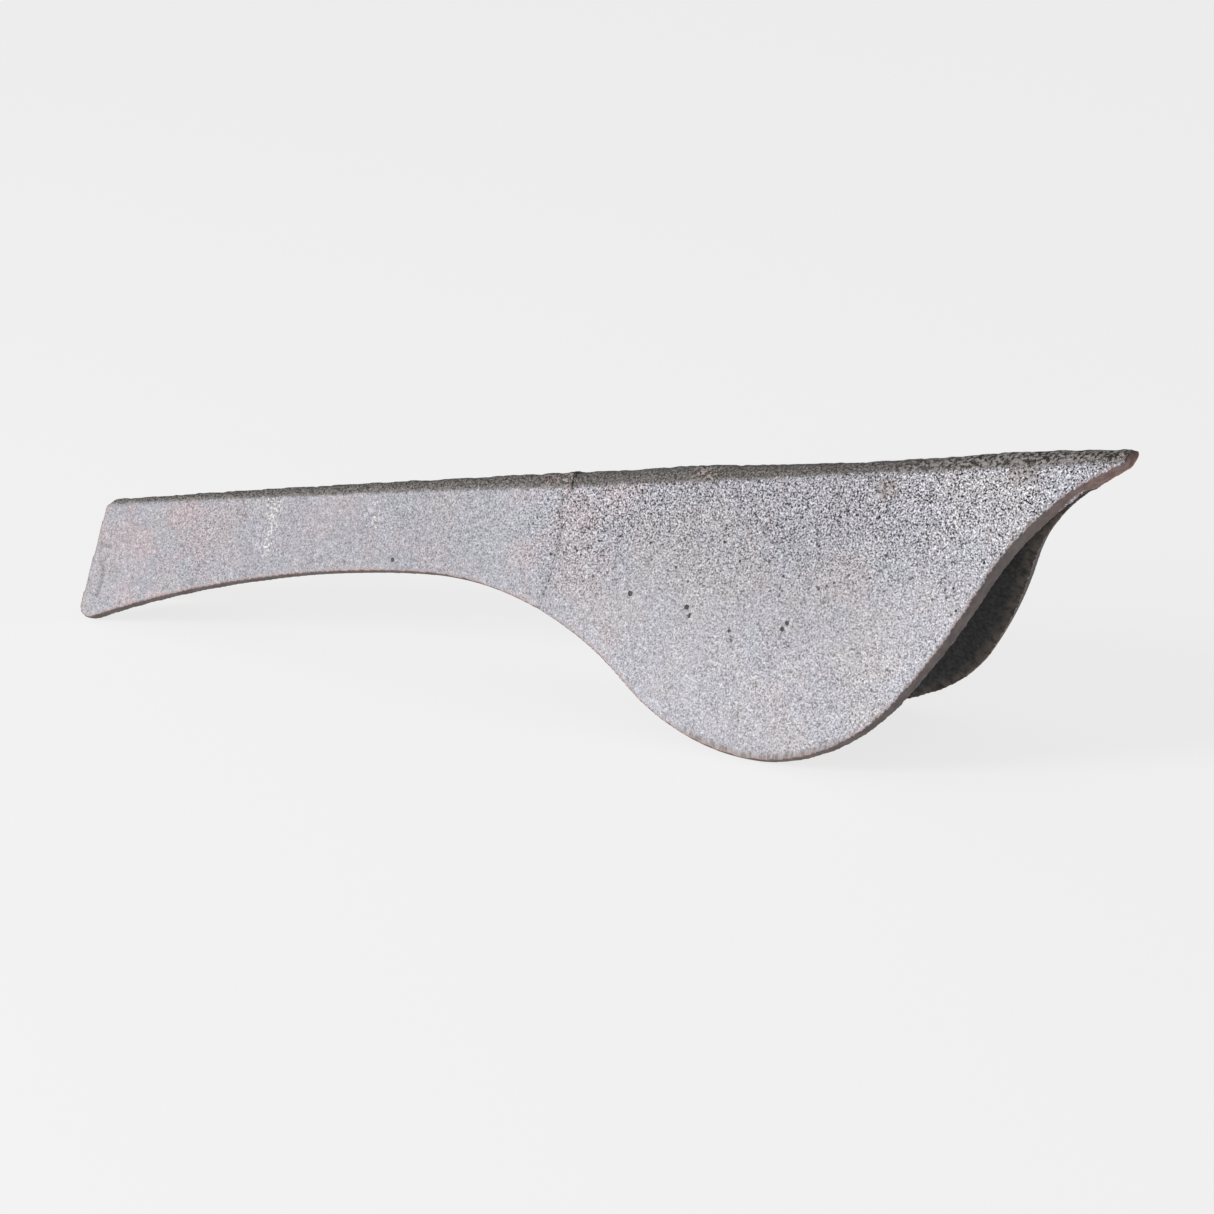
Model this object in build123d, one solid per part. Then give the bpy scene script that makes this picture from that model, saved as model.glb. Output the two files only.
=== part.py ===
from build123d import *
import math
import os

# A cast iron hand scoop that lies with its fold upwards. A plate is folded to a V along one straight
# ridge. Its two wings are mirror images: a narrow channel handle, then deep lobes, then a blunt beak.
# +X points to the beak, +Z up, and the mid-plane of the fold is at Y = 0. The origin is on the ground
# below the middle of the length. Sizes are millimetres and degrees.

# Driving dimensions
fold_half_angle = 22.8
fold_length = 283.1
ridge_rise = 11.26
hollow_radius = 1.5
handle_ridge_radius = 2.4
handle_wall = 3.2
beak_ridge_radius = 5.5
beak_ridge_wall = 6.2
beak_edge_wall = 2.9
handle_depth = 35.0
handle_end_lean = 13.5
handle_corner_radius = 3.0
handle_top_depth = 5.2
handle_top_radius = 2.5
beak_end_lean = 12.0
beak_corner_radius = 1.5
beak_nose_depth = 8.6
beak_nose_radius = 2.5
ground_land = 0.3
seam_width = 0.8
seam_bead_width = 3.0
seam_bead_height = 0.3

# The free edge of a wing laid flat, as tangent arcs from the handle end to the beak: radius and turn.
# A turn above 0 bends the edge away from the ridge.
edge_heading = -14.2
edge_arcs = [
    (294.0, 19.7),  # underside of the channel handle
    (94.6, 40.4),  # root of the handle
    (68.4, -28.8),  # shoulder of the lobe
    (45.0, -61.2),  # bottom of the lobe
    (160.0, -11.6),  # front of the lobe
    (68.0, 32.9),  # throat under the beak
]

# The seam across the handle root in side view, from above the ridge to below the edges: X and height
seam_points = [(-8.0, 60.0), (-4.5, 36.5), (-8.5, 15.0)]

half_angle = math.radians(fold_half_angle)
rise = math.radians(ridge_rise)

# Room past the plate for the shapes that cut it
spare = 20.0


# Until it is tilted, the shell lies with its ridge along X. The origin is the sharp corner of the fold
# at the handle end, before the ridge is rounded.


def fold_section(place_x, ridge_radius, ridge_wall, edge_wall):
    """The V across the fold at one place along it. The wall may thin out from the ridge to the edges."""
    leg_height = 90.0
    outer_reach = leg_height * math.tan(half_angle)
    inner_reach = outer_reach - edge_wall / math.cos(half_angle)
    hollow_depth = ridge_wall / math.sin(half_angle)
    right_leg = [(outer_reach, -leg_height), (inner_reach, -leg_height)]
    left_leg = [(-inner_reach, -leg_height), (-outer_reach, -leg_height)]
    section = Polygon((0, 0), *right_leg, (0, -hollow_depth), *left_leg, align=None)
    ridge_corner = section.vertices().sort_by_distance((0, 0, 0))[0]
    section = fillet(ridge_corner, ridge_radius)
    hollow_corner = section.vertices().sort_by_distance((0, -hollow_depth, 0))[0]
    section = fillet(hollow_corner, hollow_radius)
    return Pos(place_x, 0, 0) * (Plane.YZ * section)


def folded_bar():
    """The V section run along the ridge past both ends, sharper and thinner at the handle."""
    handle_section = fold_section(-spare, handle_ridge_radius, handle_wall, handle_wall)
    beak_section = fold_section(fold_length + spare, beak_ridge_radius, beak_ridge_wall, beak_edge_wall)
    return loft([handle_section.face(), beak_section.face()], ruled=True)


def wing_outline():
    """One wing laid flat: x runs along the ridge, and y away from it."""
    end_lean = math.tan(math.radians(handle_end_lean))
    beak_lean = math.tan(math.radians(beak_end_lean))
    edge_start = Vector(-end_lean * handle_depth, handle_depth)
    start = edge_start
    heading = Vector(1, 0).rotate(Axis.Z, edge_heading)
    edges = []
    for radius, turn in edge_arcs:
        arc = JernArc(start=start, tangent=heading, radius=radius, arc_size=turn)
        edges.append(arc)
        start = arc @ 1
        heading = arc % 1
    beak_run = (fold_length - beak_lean * start.Y - start.X) / (heading.X + beak_lean * heading.Y)
    beak_end = start + heading * beak_run
    nose = Vector(fold_length - beak_lean * beak_nose_depth, beak_nose_depth)
    above_beak = Vector(fold_length - spare, -spare / 2)
    above_handle = Vector(spare, -spare / 2)
    handle_top = Vector(-end_lean * handle_top_depth, handle_top_depth)
    edges += Polyline(start, beak_end, nose, above_beak, above_handle, handle_top, edge_start).edges()
    outline = make_face(edges)
    for corner, radius in (
        (edge_start, handle_corner_radius),
        (beak_end, beak_corner_radius),
        (nose, beak_nose_radius),
        (handle_top, handle_top_radius),
    ):
        vertex = outline.vertices().sort_by_distance(corner)[0]
        outline = fillet(vertex, radius)
    return outline


def wing_cutter():
    """The outline of the wing on the -Y side, run square through the plate, up to the mid-plane."""
    inwards = (0, math.cos(half_angle), -math.sin(half_angle))
    outer_face = Plane(origin=(0, 0, 0), x_dir=(1, 0, 0), z_dir=inwards).offset(-spare)
    cutter = extrude(outer_face * wing_outline(), amount=3 * spare)
    near_side = Pos(fold_length / 2, -fold_length, 0) * Box(*[2 * fold_length] * 3)
    return cutter & near_side


def folded_shell():
    """The fold with both wings cut to their outline, ridge along X."""
    cutter = wing_cutter()
    return folded_bar() & (cutter + mirror(cutter, Plane.XZ))


def ridge_bead(seam_x):
    """A low round bead over the ridge where the seam crosses it, ridge along X."""
    along = seam_x / math.cos(rise) + fold_length / 2
    share = along / fold_length
    ridge_radius = handle_ridge_radius + share * (beak_ridge_radius - handle_ridge_radius)
    ridge_centre = Pos(along, 0, -ridge_radius / math.sin(half_angle))
    return ridge_centre * Rot(0, 90, 0) * Cylinder(ridge_radius + seam_bead_height, seam_bead_width)


def seam_slab():
    """A thin upright slab with one bend, which follows the seam through both wings."""
    before = [(x - seam_width / 2, z) for x, z in seam_points]
    after = [(x + seam_width / 2, z) for x, z in reversed(seam_points)]
    side_view = Plane.XZ * Polygon(*before, *after, align=None)
    return extrude(side_view, amount=fold_length / 2, both=True)


def build_pieces():
    """The shell tilted, set down, ground flat where it stands, and parted at the seam."""
    shell = folded_shell()
    tilt = Rot(0, -ridge_rise, 0)
    tilted_box = (tilt * shell).bounding_box()
    placement = Pos(-tilted_box.center().X, 0, -tilted_box.min.Z - ground_land) * tilt
    above_ground = Pos(0, 0, fold_length) * Box(*[2 * fold_length] * 3)
    shell = (placement * shell) & above_ground
    bead = placement * ridge_bead(seam_points[0][0])
    braze = (shell & seam_slab()) + bead
    halves = (shell - seam_slab() - bead).solids().sort_by(Axis.X)
    return {"channel_handle": halves[0], "scoop_body": halves[-1], "seam_braze": braze}


os.makedirs("parts", exist_ok=True)
for node_name, piece in build_pieces().items():
    export_step(piece, f"parts/{node_name}.step")
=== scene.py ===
import math

import bpy
import numpy as np
from mathutils import Matrix, Vector
from mathutils.kdtree import KDTree


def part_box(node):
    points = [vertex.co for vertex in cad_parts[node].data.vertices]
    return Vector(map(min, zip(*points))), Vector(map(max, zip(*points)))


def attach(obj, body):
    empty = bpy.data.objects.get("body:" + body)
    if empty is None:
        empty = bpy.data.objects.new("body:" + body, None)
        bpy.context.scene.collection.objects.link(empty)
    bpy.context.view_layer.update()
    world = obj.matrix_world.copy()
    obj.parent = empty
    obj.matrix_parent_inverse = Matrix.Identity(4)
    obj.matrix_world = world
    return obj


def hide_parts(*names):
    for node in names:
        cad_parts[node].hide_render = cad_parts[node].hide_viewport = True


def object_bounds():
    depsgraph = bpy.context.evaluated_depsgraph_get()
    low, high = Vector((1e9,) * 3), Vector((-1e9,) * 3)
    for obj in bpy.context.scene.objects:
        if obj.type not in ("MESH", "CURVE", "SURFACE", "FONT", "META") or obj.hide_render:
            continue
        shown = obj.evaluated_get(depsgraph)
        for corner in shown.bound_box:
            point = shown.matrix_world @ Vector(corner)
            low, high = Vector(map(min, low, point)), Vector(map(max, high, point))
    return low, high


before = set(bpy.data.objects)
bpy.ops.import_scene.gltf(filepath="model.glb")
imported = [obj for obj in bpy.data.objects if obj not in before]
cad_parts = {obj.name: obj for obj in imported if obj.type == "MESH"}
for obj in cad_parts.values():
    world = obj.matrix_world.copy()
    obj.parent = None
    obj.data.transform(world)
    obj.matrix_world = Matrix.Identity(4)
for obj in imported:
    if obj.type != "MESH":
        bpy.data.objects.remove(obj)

# A cast iron hand scoop: a plate folded to a V along one ridge, lying ridge up. Each CAD node is
# replaced by a fine skin of the same shape, with rounded edges, cast grain, pits and lumps.

CAD_LOW, CAD_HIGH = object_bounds()
MM = 0.001

# ---------------------------------------------------------------- camera

# The direction from the scoop to the camera
AZIMUTH = math.radians(30.565)
ELEVATION = math.radians(16.764)
CAMERA_PLACE = Vector((0.76682, -1.29293, 0.47383))
CAMERA_LENS = 197.69
SENSOR_WIDTH = 36.0
back = Vector((
    math.sin(AZIMUTH) * math.cos(ELEVATION),
    -math.cos(AZIMUTH) * math.cos(ELEVATION),
    math.sin(ELEVATION),
))
right = Vector((math.cos(AZIMUTH), math.sin(AZIMUTH), 0))
up = back.cross(right)


def link(name, data):
    obj = bpy.data.objects.new(name, data)
    bpy.context.scene.collection.objects.link(obj)
    return obj


camera_data = bpy.data.cameras.new("camera")
camera_data.sensor_width = SENSOR_WIDTH
camera_data.lens = CAMERA_LENS
camera_data.clip_start = 0.05
camera_data.clip_end = 50.0
camera = link("camera", camera_data)
turn = Matrix((right, up, back)).transposed().to_4x4()
camera.matrix_world = Matrix.Translation(CAMERA_PLACE) @ turn
bpy.context.scene.camera = camera
bpy.context.scene.view_settings.view_transform = "Standard"

# ---------------------------------------------------------------- numpy helpers


def hashed(ix, iy, iz, seed):
    """Repeatable numbers from 0 to 1, one for each lattice point."""
    n = (ix * 374761393 + iy * 668265263 + iz * 2147483647 + seed * 1274126177) & 0xFFFFFFFF
    n = ((n ^ (n >> 13)) * 1274126177) & 0xFFFFFFFF
    n = ((n ^ (n >> 16)) * 668265263) & 0xFFFFFFFF
    return ((n ^ (n >> 15)) & 0xFFFF) / 65535.0


def noise(points, cell, seed):
    """Smooth noise from -1 to 1 over points in millimetres, with lumps about one cell wide."""
    p = points / cell
    base = np.floor(p).astype(np.int64)
    f = p - base
    f = f * f * (3 - 2 * f)
    total = np.zeros(len(p))
    for dx in (0, 1):
        wx = f[:, 0] if dx else 1 - f[:, 0]
        for dy in (0, 1):
            wy = f[:, 1] if dy else 1 - f[:, 1]
            for dz in (0, 1):
                wz = f[:, 2] if dz else 1 - f[:, 2]
                corner = hashed(base[:, 0] + dx, base[:, 1] + dy, base[:, 2] + dz, seed)
                total += wx * wy * wz * corner
    return 2 * total - 1


def smoothstep(low, high, x):
    t = np.clip((x - low) / (high - low), 0, 1)
    return t * t * (3 - 2 * t)


def bell(x, centre, width):
    return np.exp(-(((x - centre) / width) ** 2))


def coords(mesh):
    """The points of a mesh in millimetres."""
    co = np.empty(len(mesh.vertices) * 3, np.float32)
    mesh.vertices.foreach_get("co", co)
    return co.reshape(-1, 3).astype(float) / MM


def put_coords(mesh, points):
    mesh.vertices.foreach_set("co", (points * MM).astype(np.float32).ravel())
    mesh.update()


def normals(mesh):
    n = np.empty(len(mesh.vertices) * 3, np.float32)
    mesh.vertex_normals.foreach_get("vector", n)
    return n.reshape(-1, 3).astype(float)


def relaxed(mesh, points, rounds, share):
    """Evens out a mesh, which rounds its edges: points move towards the middle of their neighbours and
    most of the way back."""
    edges = np.empty(len(mesh.edges) * 2, np.int32)
    mesh.edges.foreach_get("vertices", edges)
    a, b = edges.reshape(-1, 2).T
    size = len(points)
    count = np.maximum(np.bincount(a, minlength=size) + np.bincount(b, minlength=size), 1)
    for _ in range(rounds):
        for factor in (share, -0.85 * share):
            mean = np.stack([
                (np.bincount(a, points[b, k], size) + np.bincount(b, points[a, k], size)) / count
                for k in range(3)
            ], axis=1)
            points = points + factor * (mean - points)
    return points


def put_attribute(mesh, name, values):
    attribute = mesh.attributes.new(name, "FLOAT", "POINT")
    attribute.data.foreach_set("value", values.astype(np.float32))


def remeshed(node, voxel_mm):
    """A fine even mesh of a CAD node, as a new object."""
    obj = link("skin_" + node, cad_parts[node].data.copy())
    obj.data.materials.clear()
    modifier = obj.modifiers.new("remesh", "REMESH")
    modifier.mode = "VOXEL"
    modifier.voxel_size = voxel_mm * MM
    modifier.use_smooth_shade = True
    dg = bpy.context.evaluated_depsgraph_get()
    mesh = bpy.data.meshes.new_from_object(obj.evaluated_get(dg))
    obj.modifiers.clear()
    obj.data = mesh
    return obj


# ---------------------------------------------------------------- the fold, read from the CAD mesh


def wing_normal(mesh):
    """The outward normal of the flat outer face of the wing on the -Y side."""
    count = len(mesh.polygons)
    centre = np.empty(count * 3, np.float32)
    normal = np.empty(count * 3, np.float32)
    area = np.empty(count, np.float32)
    mesh.polygons.foreach_get("center", centre)
    mesh.polygons.foreach_get("normal", normal)
    mesh.polygons.foreach_get("area", area)
    centre, normal = centre.reshape(-1, 3), normal.reshape(-1, 3)
    flat = (centre[:, 1] < -0.004) & (normal[:, 1] < -0.8)
    mean = (normal[flat] * area[flat][:, None]).sum(0).astype(float)
    return mean / np.linalg.norm(mean)


wing = wing_normal(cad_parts["scoop_body"].data)
# The fold runs where the two wing planes meet, so it is square to the normals of both
fold = np.array((wing[2], 0.0, -wing[0]))
fold = fold / np.linalg.norm(fold)
ridge_up = np.array((-fold[2], 0.0, fold[0]))


def ridge_line():
    """The height of the ridge top along ridge_up as a straight line over X: slope and start."""
    points = np.vstack([coords(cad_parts[node].data) for node in ("scoop_body", "channel_handle")])
    height = points @ ridge_up
    reach = 12
    xs = np.linspace(CAD_LOW[0] / MM + reach, CAD_HIGH[0] / MM - reach, 24)
    on_ridge = points[:, 1] ** 2 < 0.3
    tops = [height[on_ridge & (np.abs(points[:, 0] - x) < reach)].max(initial=-1) for x in xs]
    keep = np.array(tops) > 0
    return np.polyfit(xs[keep], np.array(tops)[keep], 1)


ridge_slope, ridge_start = ridge_line()
seam_low, seam_high = (np.array(corner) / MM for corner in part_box("seam_braze"))
seam_middle = (seam_low + seam_high) / 2

# The ridge isn't quite straight: how far it stands above the straight line, in millimetres along X
BOW_X = (-138, -100, -70, -20, 10, 28, 48, 70, 115, 138)
BOW_RISE = (-1.0, -0.3, 0.1, 0.45, 0.3, 0.7, 0.1, -0.5, 0.25, -0.3)

# Marks on the skin, in millimetres in the scoop's frame. Lumps: place, radius and height
LUMPS = [
    ((-19.8, -1.2, 53.0), 2.4, 0.5),
    ((-10.4, -2.4, 52.0), 1.9, 0.6),
    ((-5.6, -2.6, 52.4), 1.8, 0.7),
    ((33.4, -3.0, 59.4), 1.8, 0.7),
    ((30.0, -2.6, 59.5), 1.4, 0.5),
    ((115.7, -4.6, 71.7), 1.5, 0.8),
    ((113.2, -4.8, 71.0), 1.1, 0.5),
    ((80.3, -5.4, 62.6), 1.2, 0.4),
]
# Larger pits in the outer face of the near wing
PITS = [
    (34.5, -16, 28.5), (33.5, -15, 30), (47, -18.5, 25), (46, -17.5, 27), (60, -17.5, 29.5),
    (61, -17, 31), (17.5, -13.5, 30.5), (83.5, -11.5, 49), (-50.5, -9.5, 27.5),
]
# Small raised rings left by gas bubbles: place and radius
RINGS = [((-98.0, -4.7, 29.0), 1.5), ((-45.0, -6.7, 34.8), 1.1)]
# A fine crack by the handle's end, as broken lines, and rubbed streaks with painted glints: line, strength
# and width
CRACKS = [
    [(-136.3, -7.7, 14.1), (-134.8, -8.7, 12.1), (-134.8, -9.6, 9.8), (-135.1, -11.1, 6.3)],
    [(-138.6, -6.0, 17.7), (-134.2, -6.3, 17.9)],
]
RUBBED_GLINT_STREAKS = [
    ([(-93.5, -2.0, 36.0), (-87.6, -3.4, 34.6), (-87.7, -7.2, 24.9)], 0.95, 2.2),
    ([(-59.2, -3.4, 39.6), (-57.0, -6.0, 34.2)], 0.8, 1.3),
]


def line_distance(p, line):
    """How far each point is from a broken line."""
    best = np.full(len(p), 1e3)
    for start, end in zip(line, line[1:]):
        start, run = np.array(start), np.array(end) - np.array(start)
        share = np.clip((p - start) @ run / (run @ run), 0, 1)
        best = np.minimum(best, np.linalg.norm(p - start - share[:, None] * run, axis=1))
    return best


def below_ridge(p):
    return ridge_start + ridge_slope * p[:, 0] - p @ ridge_up


def bowed(p):
    """The plate as it really came out of the mould, where it differs from the straight fold."""
    depth = below_ridge(p)
    p = p.copy()
    p[:, 2] += np.interp(p[:, 0], BOW_X, BOW_RISE) * np.exp(-((np.maximum(depth, 0) / 17) ** 2))
    far_front = smoothstep(2, 12, p[:, 1]) * smoothstep(58, 80, p[:, 0]) * smoothstep(22, 42, depth)
    p[:, 2] += 0.9 * far_front
    p[:, 0] += 0.7 * far_front
    return p


def surface_facts(p, n):
    """What each point needs for its relief and its colour."""
    side = np.where(p[:, 1] < 0, 1.0, -1.0)
    outward = n @ wing * (side > 0) + (n * (1, -1, 1)) @ wing * (side < 0)
    upward = n @ ridge_up
    along = n @ fold
    ends = np.abs(along) > 0.55
    solid_beak = (p[:, 0] > 100) & (below_ridge(p) < 8.5)
    free = (upward < -0.35) & ((np.abs(p[:, 1]) > 4) | solid_beak)
    cut = (np.abs(outward) < 0.6) & (ends | free) & (upward < 0.6)
    return {
        "cut": cut,
        "inside": (~cut) & ((outward < -0.2) | ((np.abs(p[:, 1]) < 3) & (upward < -0.2))),
        "depth": below_ridge(p),
    }


def grain_share(p, depth):
    """How coarse the cast grain is: 1 by the beak and the ridge, low on the belly of the lobes."""
    beak = smoothstep(20, 120, p[:, 0])
    top = 1 - smoothstep(6, 34, depth)
    body = smoothstep(-40, 10, p[:, 0])
    patch = 0.12 * noise(p, 18, 41)
    return np.clip(0.33 + 0.10 * body + 0.26 * beak + 0.55 * top * (0.12 + 0.88 * body) + patch, 0.2, 1.2)


def painted_shade_tone(p, depth):
    """Painted shade and light over the outer face, as light falls on the slightly curved wall: the belly
    and front paler, the upper body and handle darker, with a little random tone.
    """
    body = smoothstep(-45, 5, p[:, 0])
    belly = smoothstep(20, 52, depth)
    front = smoothstep(70, 110, p[:, 0])
    value = 0.90 + body * (0.12 + 0.14 * belly + 0.18 * front)
    return value + 0.03 * noise(p, 26, 51)


def relief(p, facts, grain):
    """Height of the skin above the plain plate, in millimetres."""
    outer = ~(facts["inside"] | facts["cut"])
    height = 0.10 * noise(p, 22, 1) + 0.04 * noise(p, 9, 2)
    fine = grain * (0.05 * noise(p, 3.2, 3) + 0.075 * noise(p, 1.5, 4))
    height += np.where(facts["cut"], 0.25, 1.0) * fine
    top = outer * (1 - smoothstep(0.5, 3.0, facts["depth"]))
    height += top * (0.11 * noise(p, 2.6, 5) + 0.17 * noise(p, 1.35, 6))
    for place, radius, rise in LUMPS:
        distance = np.linalg.norm(p - place, axis=1)
        nodules = np.maximum(0.25 + 1.5 * noise(p, 1.15, 7), -0.2)
        height += rise * np.exp(-((distance / radius) ** 2)) * nodules
    for place in PITS:
        distance = np.linalg.norm(p - place, axis=1)
        height -= 0.3 * outer * np.exp(-((distance / 0.7) ** 2))
    for place, radius in RINGS:
        distance = np.linalg.norm(p - place, axis=1)
        height += 0.22 * outer * np.exp(-(((distance - radius) / 0.45) ** 2))
    for line in CRACKS:
        height -= 0.2 * outer * np.exp(-((line_distance(p, line) / 0.45) ** 2))
    return height


# Voxel sizes of the skins, and how far the castings run into the filler, in millimetres
VOXELS = {"scoop_body": 0.68, "channel_handle": 0.5, "seam_braze": 0.28}

INTO_FILLER = 0.62
FAR_FROM_SEAM = 9.0

skins = {node: remeshed(node, voxel) for node, voxel in VOXELS.items()}
rim_points = []
work = {}
for node, obj in skins.items():
    mesh = obj.data
    p = bowed(coords(mesh))
    put_coords(mesh, p)
    facts = surface_facts(p, normals(mesh))
    if node != "seam_braze":
        at_seam = (p[:, 0] > seam_low[0] - 0.4) & (p[:, 0] < seam_high[0] + 0.4)
        rim_points.append(p[facts["cut"] & ~at_seam])
    work[node] = (p, facts)

rim_points = np.vstack(rim_points)
rim_tree = KDTree(len(rim_points))
for i, place in enumerate(rim_points):
    rim_tree.insert(place, i)
rim_tree.balance()

braze_points = work["seam_braze"][0][::2]
seam_tree = KDTree(len(braze_points))
for i, place in enumerate(braze_points):
    seam_tree.insert(place, i)
seam_tree.balance()

for node, obj in skins.items():
    mesh = obj.data
    p, facts = work[node]
    rim = np.array([0.0 if is_cut else rim_tree.find(q)[2] for q, is_cut in zip(p, facts["cut"])])
    near_seam = np.abs(p[:, 0] - seam_middle[0]) < 12
    seam = np.full(len(p), FAR_FROM_SEAM)
    seam[near_seam] = [seam_tree.find(q)[2] for q in p[near_seam]]
    grain = grain_share(p, facts["depth"])
    p = relaxed(mesh, p, 4, 0.6)
    # The two castings run a little into the filler, so that the seam is only a hairline
    if node != "seam_braze":
        inwards = 1.0 if node == "channel_handle" else -1.0
        p[:, 0] += inwards * INTO_FILLER * bell(seam, 0, 0.7)
    put_coords(mesh, p)
    n = normals(mesh)
    height = relief(p, facts, grain)
    if node == "seam_braze":
        height = height - 0.04 + 0.16 * noise(p, 1.1, 9)
    else:
        height = height - 0.03 * bell(seam, 0, 0.5) * (1 + noise(p, 1.6, 10))
    moved = p + n * height[:, None]
    moved[:, 2] = np.maximum(moved[:, 2], 0.0)
    put_coords(mesh, moved)
    mesh.shade_smooth()
    put_attribute(mesh, "rim", rim)
    put_attribute(mesh, "seam", seam)
    put_attribute(mesh, "grain", grain)
    put_attribute(mesh, "inside", facts["inside"].astype(float))
    put_attribute(mesh, "cut", facts["cut"].astype(float))
    # The ridge band: the mask of painted shade on the up-turned ridge rounding and of its brown scale,
    # wider towards the body
    band_end = 2.0 + 1.2 * smoothstep(-60, 20, p[:, 0])
    outer = ~(facts["inside"] | facts["cut"])
    below_top = (facts["depth"] - 0.6) / band_end
    put_attribute(mesh, "ridge", outer * (1 - smoothstep(0, 1, below_top)))
    # Painted shade and light: a paler belly and front, a darker upper body and handle
    put_attribute(mesh, "painted_shade_tone", painted_shade_tone(p, facts["depth"]))
    worn = smoothstep(33, 44, p[:, 0]) * (1 - smoothstep(74, 86, p[:, 0])) * (p[:, 2] < 12)
    put_attribute(mesh, "bevel", outer * worn * (1 - smoothstep(0.9, 2.2, rim)))
    cracked = sum(bell(line_distance(p, line), 0, 0.4) for line in CRACKS)
    rubbed_with_glints = sum(share * bell(line_distance(p, line), 0, width) for line, share, width in RUBBED_GLINT_STREAKS)
    put_attribute(mesh, "crack", outer * cracked)
    put_attribute(mesh, "rubbed_with_glints", outer * rubbed_with_glints)

# ---------------------------------------------------------------- materials


class Tree:
    """Short names for building a node tree."""

    def __init__(self, material):
        material.use_nodes = True
        self.tree = material.node_tree
        self.shader = self.tree.nodes["Principled BSDF"]

    def node(self, kind, **settings):
        made = self.tree.nodes.new(kind)
        for key, value in settings.items():
            setattr(made, key, value)
        return made

    def wire(self, source, target):
        if hasattr(source, "links"):
            self.tree.links.new(source, target)
        else:
            target.default_value = source

    def attribute(self, name):
        return self.node("ShaderNodeAttribute", attribute_name=name).outputs["Fac"]

    def place(self):
        return self.node("ShaderNodeTexCoord").outputs["Object"]

    def along(self, axis="X"):
        """The place along one axis, in metres: X runs along the scoop."""
        separate = self.node("ShaderNodeSeparateXYZ")
        self.wire(self.place(), separate.inputs[0])
        return separate.outputs[axis]

    def noise(self, size_mm, detail=2.0, rough=0.5, stretch=None):
        made = self.node("ShaderNodeTexNoise")
        made.inputs["Scale"].default_value = 1 / (size_mm * MM)
        made.inputs["Detail"].default_value = detail
        made.inputs["Roughness"].default_value = rough
        vector = self.place()
        if stretch:
            mapping = self.node("ShaderNodeMapping")
            mapping.inputs["Scale"].default_value = stretch
            self.wire(vector, mapping.inputs["Vector"])
            vector = mapping.outputs["Vector"]
        self.wire(vector, made.inputs["Vector"])
        return made.outputs["Fac"]

    def cells(self, size_mm):
        made = self.node("ShaderNodeTexVoronoi")
        made.inputs["Scale"].default_value = 1 / (size_mm * MM)
        self.wire(self.place(), made.inputs["Vector"])
        return made.outputs["Distance"]

    def nearest(self, places):
        """The distance in millimetres to the nearest of some places, which are in millimetres."""
        found = None
        for place in places:
            made = self.node("ShaderNodeVectorMath", operation="DISTANCE")
            self.wire(self.place(), made.inputs[0])
            made.inputs[1].default_value = [c * MM for c in place]
            distance = made.outputs["Value"]
            found = distance if found is None else self.math("MINIMUM", found, distance)
        return self.math("MULTIPLY", found, 1 / MM)

    def ramp(self, value, low, high, from_low=0.0, to_high=1.0):
        made = self.node("ShaderNodeMapRange", interpolation_type="SMOOTHSTEP")
        made.inputs["From Min"].default_value = low
        made.inputs["From Max"].default_value = high
        made.inputs["To Min"].default_value = from_low
        made.inputs["To Max"].default_value = to_high
        self.wire(value, made.inputs["Value"])
        return made.outputs["Result"]

    def math(self, operation, a, b=0.0):
        made = self.node("ShaderNodeMath", operation=operation)
        self.wire(a, made.inputs[0])
        self.wire(b, made.inputs[1])
        return made.outputs[0]

    def mix(self, share, a, b):
        made = self.node("ShaderNodeMix", data_type="RGBA")
        self.wire(share, made.inputs["Factor"])
        self.wire(a, made.inputs["A"])
        self.wire(b, made.inputs["B"])
        return made.outputs["Result"]

    def scaled(self, colour, share):
        """A colour made lighter or darker by a number."""
        made = self.node("ShaderNodeVectorMath", operation="SCALE")
        self.wire(colour, made.inputs[0])
        self.wire(share, made.inputs["Scale"])
        return made.outputs[0]


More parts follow.
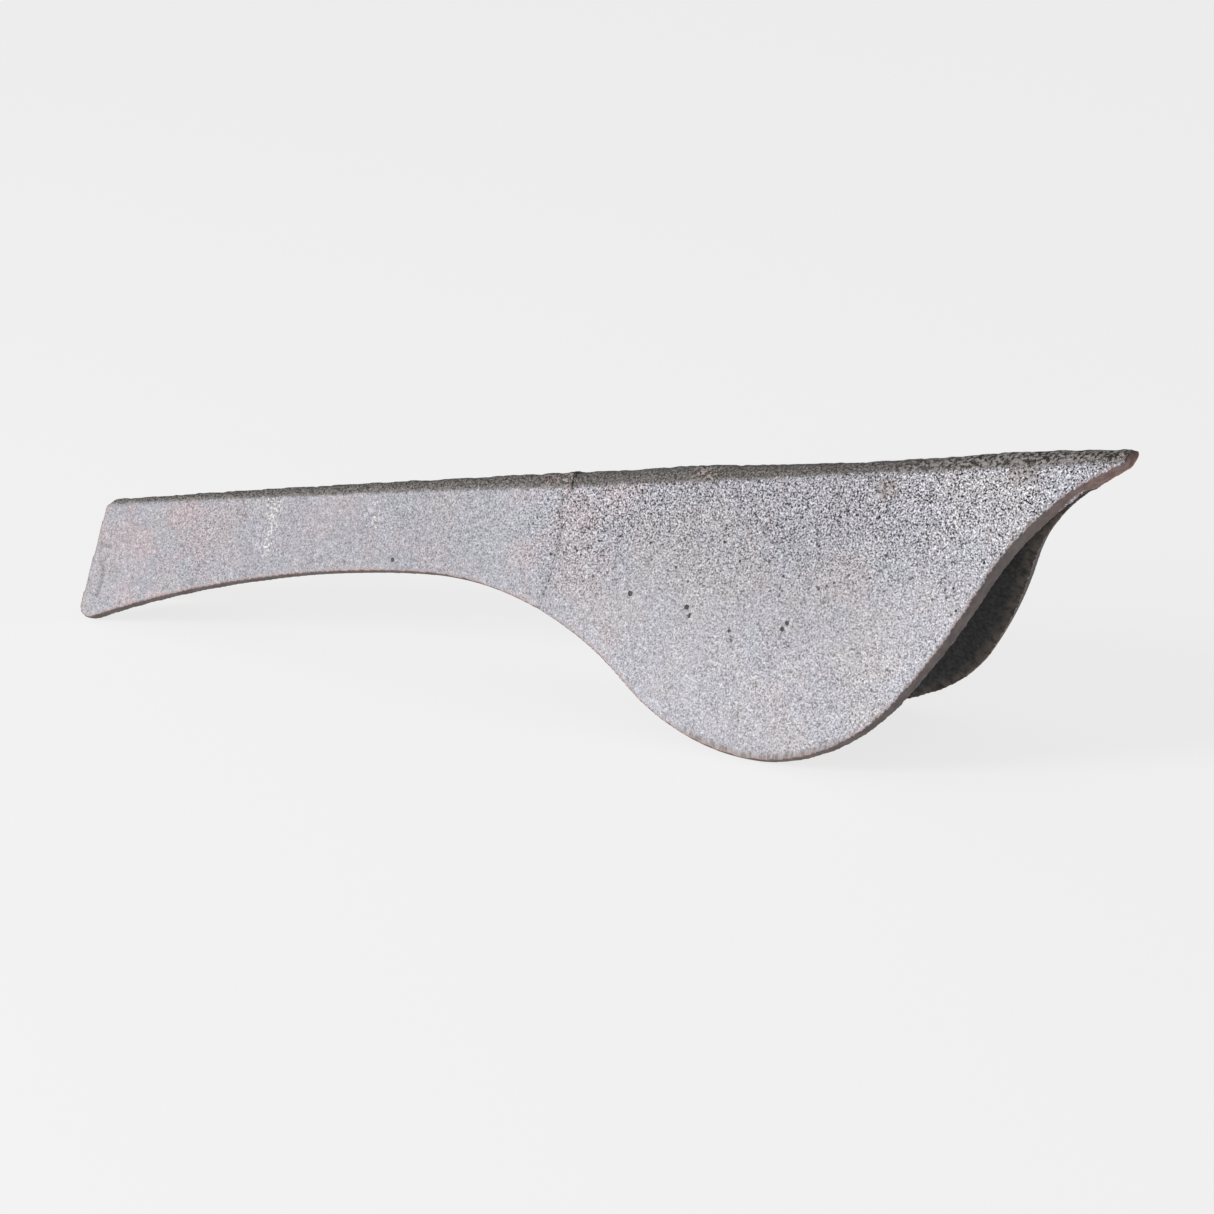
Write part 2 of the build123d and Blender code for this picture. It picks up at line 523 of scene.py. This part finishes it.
def iron(name, base, blush, blush_places):
    """Dry cast iron skin: grey and speckled outside under painted shade and light, nearly black inside as
    painted shade, and darker brown on the ridge and the cuts, partly scale and partly painted shade.
    """
    material = bpy.data.materials.new(name)
    t = Tree(material)
    rim, inside, grain = t.attribute("rim"), t.attribute("inside"), t.attribute("grain")

    # Broad random tone, painted shade and light over the outer face, then speckles whose contrast follows
    # the grain
    bluish = (base[0] * 0.95, base[1] * 0.98, base[2] * 1.02, 1)
    colour = t.mix(t.ramp(t.noise(15, 3.0, 0.6), 0.38, 0.62), base, bluish)
    warm = t.math("MULTIPLY", t.ramp(t.noise(9, 4.0, 0.6), 0.40, 0.68), blush_share(t, blush_places))
    colour = t.mix(warm, colour, blush)
    fine = t.noise(0.42, 2.0, 0.65)
    speckle = t.noise(0.43, 1.0, 0.5)
    # Speckles of grain, whose brightest specks are partly painted glints
    grain_and_glint_speck = t.ramp(speckle, 0.36, 0.64, -0.22, 0.30)
    grain_and_glint_speck = t.math("ADD", grain_and_glint_speck, t.ramp(speckle, 0.44, 0.35, 0.0, -0.62))
    grain_and_glint_speck = t.math("ADD", grain_and_glint_speck, t.ramp(speckle, 0.57, 0.67, 0.0, 0.62))
    grain_and_glint_speck = t.math("MULTIPLY", grain_and_glint_speck, grain)
    pores = t.ramp(t.noise(0.55, 1.0, 0.5), 0.40, 0.33)
    patches = t.ramp(t.noise(6, 2.0, 0.6), 0.35, 0.62, 0.45, 1.0)
    pores = t.math("MULTIPLY", pores, t.math("MULTIPLY", grain, patches))
    holes = t.math("MULTIPLY", t.ramp(t.cells(2.3), 0.17, 0.10), t.ramp(t.noise(5, 1.0, 0.5), 0.42, 0.58))
    holes = t.math("MULTIPLY", holes, t.ramp(grain, 0.42, 0.75))
    pits = t.math("ADD", t.nearest(PITS), t.math("MULTIPLY", t.noise(0.9, 2.0, 0.6), 0.7))
    holes = t.math("MAXIMUM", holes, t.ramp(pits, 1.0, 0.8))
    # Painted shade and light over the outer face scale the speckled brightness
    light = t.math("MULTIPLY", t.math("ADD", grain_and_glint_speck, 1.0), t.attribute("painted_shade_tone"))
    light = t.math("MULTIPLY", light, t.math("SUBTRACT", 1.0, t.math("MULTIPLY", pores, 0.85)))
    light = t.math("MULTIPLY", light, t.math("SUBTRACT", 1.0, t.math("MULTIPLY", holes, 0.82)))

    # Thin dark curls where the skin shrank
    curl = t.math("ABSOLUTE", t.math("SUBTRACT", t.noise(1.5, 1.0, 0.4), 0.5))
    curl = t.math("MULTIPLY", t.ramp(curl, 0.022, 0.004), t.ramp(t.noise(4.5, 2.0, 0.5), 0.45, 0.6))
    light = t.math("MULTIPLY", light, t.math("SUBTRACT", 1.0, t.math("MULTIPLY", curl, 0.34)))

    # Seam and cracks: dotted dark hairlines
    dots = t.ramp(t.noise(1.2, 2.0, 0.5), 0.50, 0.60)
    hairline = t.math("MULTIPLY", t.ramp(t.attribute("seam"), 0.45, 0.1), dots)
    hairline = t.math("MAXIMUM", hairline, t.math("MULTIPLY", t.attribute("crack"), 0.75))
    light = t.math("MULTIPLY", light, t.math("SUBTRACT", 1.0, t.math("MULTIPLY", hairline, 0.5)))
    colour = t.scaled(colour, light)

    # Nodules on the lumps: painted highlights on their tops and painted shade in the creases between them
    lumpy = t.ramp(t.nearest([lump[0] for lump in LUMPS]), 3.4, 1.6)
    nodule = t.noise(0.95, 1.0, 0.5)
    painted_shade_crease = t.math("ABSOLUTE", t.math("SUBTRACT", nodule, 0.45))
    painted_shade_crease = t.math("MULTIPLY", t.ramp(painted_shade_crease, 0.05, 0.01), lumpy)
    tops = t.math("MULTIPLY", t.ramp(nodule, 0.50, 0.57), lumpy)

    # Rubbed streaks: bright flecks, partly painted glints
    glint_flecks = t.math("MULTIPLY", t.ramp(t.noise(0.7, 2.0, 0.6), 0.54, 0.62), t.attribute("rubbed_with_glints"))
    colour = t.mix(glint_flecks, colour, (0.80, 0.77, 0.74, 1))

    # The ridge: a band of painted shade where the rounded ridge turns up away from the light, with dark
    # brown scale in it, that breaks up downwards; by the beak it is coarser, with pale and dark speckle
    # painted as the glints and shade of coarse bumps
    ridge = t.attribute("ridge")
    ragged = t.math("MULTIPLY", t.math("SUBTRACT", t.noise(1.1, 3.0, 0.65), 0.5), 1.3)
    ridge_shade_and_scale = t.ramp(t.math("ADD", ridge, ragged), 0.18, 0.78)
    ridge_shade_and_scale = t.math("MULTIPLY", ridge_shade_and_scale, t.ramp(ridge, 0.0, 0.12))
    ridge_shade_and_scale_colour = t.ramp(t.noise(0.5, 2.0, 0.6), 0.36, 0.66)
    ridge_shade_and_scale_colour = t.mix(ridge_shade_and_scale_colour, (0.085, 0.074, 0.068, 1), (0.36, 0.335, 0.32, 1))
    coarse = t.ramp(t.noise(1.0, 2.0, 0.55), 0.42, 0.60)
    coarse = t.mix(coarse, (0.045, 0.036, 0.033, 1), (0.52, 0.48, 0.46, 1))
    ridge_shade_and_scale_colour = t.mix(t.ramp(t.along(), 0.062, 0.105, 0.0, 0.85), ridge_shade_and_scale_colour, coarse)
    colour = t.mix(ridge_shade_and_scale, colour, ridge_shade_and_scale_colour)

    # Painted highlights on the nodule tops, then painted shade in the creases
    colour = t.mix(t.math("MULTIPLY", tops, 0.75), colour, (0.62, 0.53, 0.49, 1))
    colour = t.mix(t.math("MULTIPLY", painted_shade_crease, 0.9), colour, (0.035, 0.028, 0.026, 1))

    # The worn bevel under the lobes: brown-grey, with fine strokes across it
    strokes = t.ramp(t.noise(0.7, 1.0, 0.5, (1.0, 1.0, 0.12)), 0.35, 0.65)
    worn = t.mix(strokes, (0.20, 0.172, 0.168, 1), (0.42, 0.385, 0.385, 1))
    colour = t.mix(t.attribute("bevel"), colour, worn)

    # The rim: a thread of pink-orange rust on the outer face; the cut face grey-brown and much darker than
    # the wall, partly painted shade of a face turned from the light, browner by the beak
    broken = t.noise(1.8, 3.0, 0.6)
    rust = t.math("MULTIPLY", t.ramp(rim, 1.25, 0.45), t.ramp(broken, 0.34, 0.58))
    colour = t.mix(t.math("MULTIPLY", rust, 0.62), colour, (0.50, 0.345, 0.31, 1))
    beak = t.ramp(t.along(), 0.112, 0.136)
    grey = t.ramp(t.noise(3.0, 3.0, 0.6), 0.35, 0.65)
    grey = t.mix(grey, (0.138, 0.118, 0.114, 1), (0.188, 0.163, 0.158, 1))
    brown = t.ramp(t.noise(2.0, 3.0, 0.6), 0.35, 0.65)
    brown = t.mix(brown, (0.19, 0.12, 0.105, 1), (0.30, 0.205, 0.185, 1))
    # The cut face colour: grey-brown with painted shade, browner by the beak
    cut = t.mix(beak, grey, brown)
    colour = t.mix(t.ramp(rim, 0.42, 0.1), colour, cut)

    # Inside: painted shade, nearly black, with a faint warm rim, and on the near wing a painted highlight,
    # a pale thread along the cut
    dark = t.ramp(t.noise(1.0, 3.0, 0.65), 0.35, 0.68)
    dark = t.mix(dark, (0.022, 0.0205, 0.021, 1), (0.052, 0.049, 0.049, 1))
    warm_rim = t.math("MULTIPLY", t.ramp(rim, 3.8, 0.8), t.ramp(t.noise(2.2, 3.0, 0.6), 0.34, 0.62))
    dark = t.mix(warm_rim, dark, (0.12, 0.095, 0.078, 1))
    near_wing = t.ramp(t.along("Y"), 0.0, -2 * MM)
    # Painted highlight: a pale thread along the cut on the near wing, where the rounded edge catches the
    # light
    dark = t.mix(t.math("MULTIPLY", t.ramp(rim, 0.75, 0.3), near_wing), dark, (0.27, 0.26, 0.25, 1))
    colour = t.mix(t.math("MULTIPLY", inside, t.ramp(rim, 0.15, 0.45)), colour, dark)
    t.wire(colour, t.shader.inputs["Base Color"])

    # Sheen: dull, a little brighter where the skin is smooth
    rough = t.ramp(t.noise(1.2, 3.0, 0.6), 0.3, 0.7, 0.48, 0.74)
    rough = t.math("MAXIMUM", rough, t.math("MULTIPLY", ridge_shade_and_scale, 0.7))
    t.wire(rough, t.shader.inputs["Roughness"])
    t.shader.inputs["Metallic"].default_value = 0.15
    t.shader.inputs["Specular IOR Level"].default_value = 0.45

    # Grain finer than the mesh
    bumps = t.math("ADD", t.math("MULTIPLY", fine, 0.55), t.math("MULTIPLY", t.noise(0.7, 2.0, 0.55), 0.8))
    bumps = t.math("MULTIPLY", bumps, t.math("ADD", grain, t.math("MULTIPLY", ridge_shade_and_scale, 1.5)))
    bumps = t.math("SUBTRACT", bumps, t.math("MULTIPLY", holes, 0.8))
    bumps = t.math("ADD", bumps, t.math("MULTIPLY", tops, 0.9))
    bumps = t.math("MULTIPLY", bumps, t.ramp(rim, 0.0, 0.5, 0.35, 1.0))
    bump = t.node("ShaderNodeBump")
    bump.inputs["Strength"].default_value = 1.0
    bump.inputs["Distance"].default_value = 0.40 * MM
    t.wire(bumps, bump.inputs["Height"])
    t.wire(bump.outputs["Normal"], t.shader.inputs["Normal"])
    return material


def blush_share(t, places):
    """How much of the pink blush shows: high near the given places, which are X in millimetres."""
    total = None
    for centre, reach, strength in places:
        away = t.math("ABSOLUTE", t.math("SUBTRACT", t.along(), centre * MM))
        share = t.ramp(away, reach * MM, 0.0, 0.0, strength)
        total = share if total is None else t.math("MAXIMUM", total, share)
    return total


# The iron's own colour by piece, the blush colour, and where it shows: X, reach and strength
BLUSH = (0.50, 0.40, 0.415, 1)
finishes = {
    "scoop_body": iron(
        "iron_body", (0.42, 0.405, 0.427, 1), BLUSH, [(0, 32, 0.42), (60, 70, 0.18)]),
    "channel_handle": iron(
        "iron_handle", (0.43, 0.415, 0.44, 1), BLUSH, [(-118, 34, 0.7), (-60, 60, 0.25), (-8, 26, 0.45)]),
    "seam_braze": iron(
        "iron_filler", (0.41, 0.39, 0.405, 1), BLUSH, [(-8, 30, 0.5)]),
}

for node, obj in skins.items():
    obj.data.materials.append(finishes[node])
    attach(obj, "root")
    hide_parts(node)

# ---------------------------------------------------------------- floor and light

# The floor lies a little below the ground, so that it doesn't share a plane with the scoop's lands
FLOOR_REACH = 6.0
FLOOR_HEIGHT = -0.0003
floor_mesh = bpy.data.meshes.new("floor")
floor_corners = [
    (x * FLOOR_REACH, y * FLOOR_REACH, FLOOR_HEIGHT) for x, y in ((-1, -1), (1, -1), (1, 1), (-1, 1))
]
floor_mesh.from_pydata(floor_corners, [], [(0, 1, 2, 3)])
floor = link("floor", floor_mesh)
floor_material = bpy.data.materials.new("floor")
floor_material.use_nodes = True
floor_shader = floor_material.node_tree.nodes["Principled BSDF"]
floor_shader.inputs["Base Color"].default_value = (0.22, 0.22, 0.22, 1)
floor_shader.inputs["Roughness"].default_value = 1.0
floor_shader.inputs["Specular IOR Level"].default_value = 0.0
floor_shader.inputs["Emission Color"].default_value = (1, 1, 1, 1)
floor_shader.inputs["Emission Strength"].default_value = 0.77
floor_mesh.materials.append(floor_material)
floor.visible_glossy = False

world = bpy.data.worlds.new("studio")
bpy.context.scene.world = world
world.use_nodes = True
sky = world.node_tree.nodes["Background"]
sky.inputs["Color"].default_value = (1, 1, 1, 1)
sky.inputs["Strength"].default_value = 0.22


AIM_HEIGHT = 0.04


def soft_light(name, azimuth, elevation, distance, size, power):
    """A square soft light that looks at the middle of the scoop."""
    a, e = math.radians(azimuth), math.radians(elevation)
    aim = Vector((0, 0, AIM_HEIGHT))
    place = aim + distance * Vector((math.sin(a) * math.cos(e), -math.cos(a) * math.cos(e), math.sin(e)))
    data = bpy.data.lights.new(name, "AREA")
    data.size = size
    data.energy = power
    obj = link(name, data)
    obj.location = place
    obj.rotation_mode = "QUATERNION"
    obj.rotation_quaternion = (aim - place).to_track_quat("-Z", "Y")


soft_light("key", -38, 18, 1.5, 0.5, 15.5)
soft_light("fill", 15, 4, 1.6, 1.2, 5)
